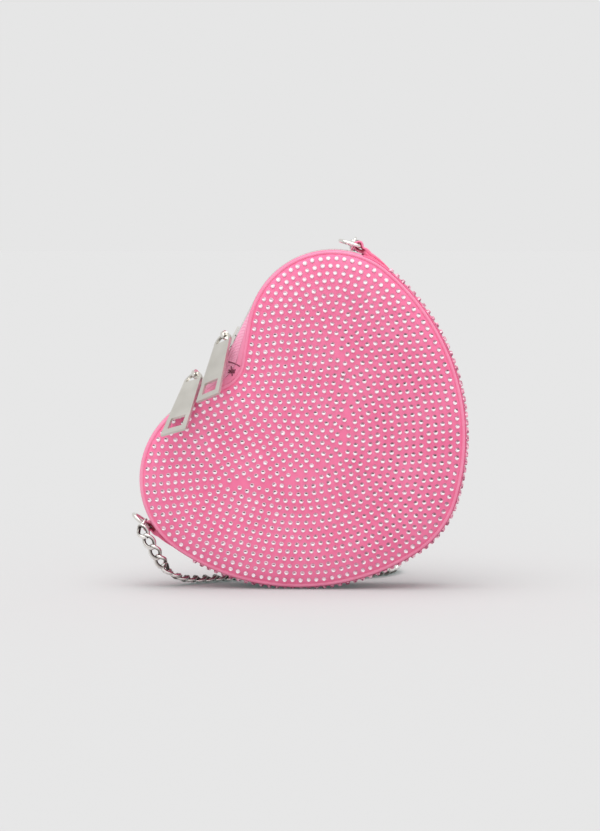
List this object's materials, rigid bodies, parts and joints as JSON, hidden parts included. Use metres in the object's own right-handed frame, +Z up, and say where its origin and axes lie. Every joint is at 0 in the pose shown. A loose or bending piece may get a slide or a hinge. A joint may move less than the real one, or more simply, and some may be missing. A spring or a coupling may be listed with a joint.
{
  "type": "heart shaped purse",
  "caption": "Small padded heart shaped evening purse with a zip round the top of the heart, plate pulls, strap rings and a loose chain strap, standing on one side edge.",
  "frame": {"origin": "middle of the flat that the purse stands on, on the floor, halfway through its depth", "axes": "+Z up from the floor, +Y from the front panel to the back panel, +X to the right as seen from the front"},
  "size_m": [0.1703, 0.1409, 0.1776],
  "materials": {
    "stoned_cloth": "satin cloth set with small clear flat-back stones",
    "foam": "soft open foam",
    "board": "plain stiff board",
    "lining_cloth": "smooth woven lining",
    "piping_cloth": "satin",
    "plain_cloth": "satin, the tape ribbed",
    "zip_metal": "bright plated metal",
    "nickel": "polished nickel plate"
  },
  "bodies": {
    "case": {"front_cover": "stoned_cloth", "back_cover": "stoned_cloth", "front_foam_pad": "foam", "back_foam_pad": "foam", "front_board": "board", "back_board": "board", "front_lining": "lining_cloth", "back_lining": "lining_cloth", "front_piping": "piping_cloth", "back_piping": "piping_cloth", "gusset_cover": "stoned_cloth", "gusset_board": "board", "gusset_lining": "lining_cloth", "front_zip_facing": "plain_cloth", "front_zip_tape": "plain_cloth", "back_zip_facing": "plain_cloth", "back_zip_tape": "plain_cloth", "front_zip_teeth": "zip_metal", "back_zip_teeth": "zip_metal", "zip_end_stops": "zip_metal", "upper_tab": "plain_cloth", "lower_tab": "plain_cloth", "chain_lower_run": "nickel", "chain_upper_run": "nickel", "chain_coil": "nickel"},
    "upper_slider": {"upper_slider": "nickel"},
    "lower_slider": {"lower_slider": "nickel"},
    "upper_pull": {"upper_pull": "nickel"},
    "lower_pull": {"lower_pull": "nickel"},
    "upper_ring": {"upper_ring": "nickel", "upper_jump_ring": "nickel"},
    "lower_ring": {"lower_ring": "nickel", "lower_jump_ring": "nickel"}
  },
  "joints": [
    {"name": "upper_slider_travel", "type": "slide", "parent": "case", "child": "upper_slider", "axis": [0.4582, 0, 0.8889], "range_m": [-0.001, 0.006], "deforming": ["front_zip_teeth", "back_zip_teeth"]},
    {"name": "lower_slider_travel", "type": "slide", "parent": "case", "child": "lower_slider", "axis": [-0.725, 0, -0.6887], "range_m": [-0.001, 0.006], "deforming": ["front_zip_teeth", "back_zip_teeth"]},
    {"name": "upper_pull_swing", "type": "hinge", "parent": "upper_slider", "child": "upper_pull", "pos_m": [-0.03757, -0.004, 0.12723], "axis": [-0.7534, 0.5656, -0.3354], "range_deg": [0, 120]},
    {"name": "lower_pull_swing", "type": "hinge", "parent": "lower_slider", "child": "lower_pull", "pos_m": [-0.05234, -0.004, 0.10753], "axis": [-0.8315, 0.4939, -0.2542], "range_deg": [0, 120]},
    {"name": "upper_ring_swing", "type": "hinge", "parent": "case", "child": "upper_ring", "pos_m": [0.03016, 0, 0.17184], "axis": [0, 1, 0], "range_deg": [-6, 100], "deforming": ["chain_upper_run"]},
    {"name": "lower_ring_swing", "type": "hinge", "parent": "case", "child": "lower_ring", "pos_m": [-0.07621, 0, 0.03002], "axis": [0, -1, 0], "range_deg": [-15, 80], "deforming": ["chain_lower_run"]}
  ]
}
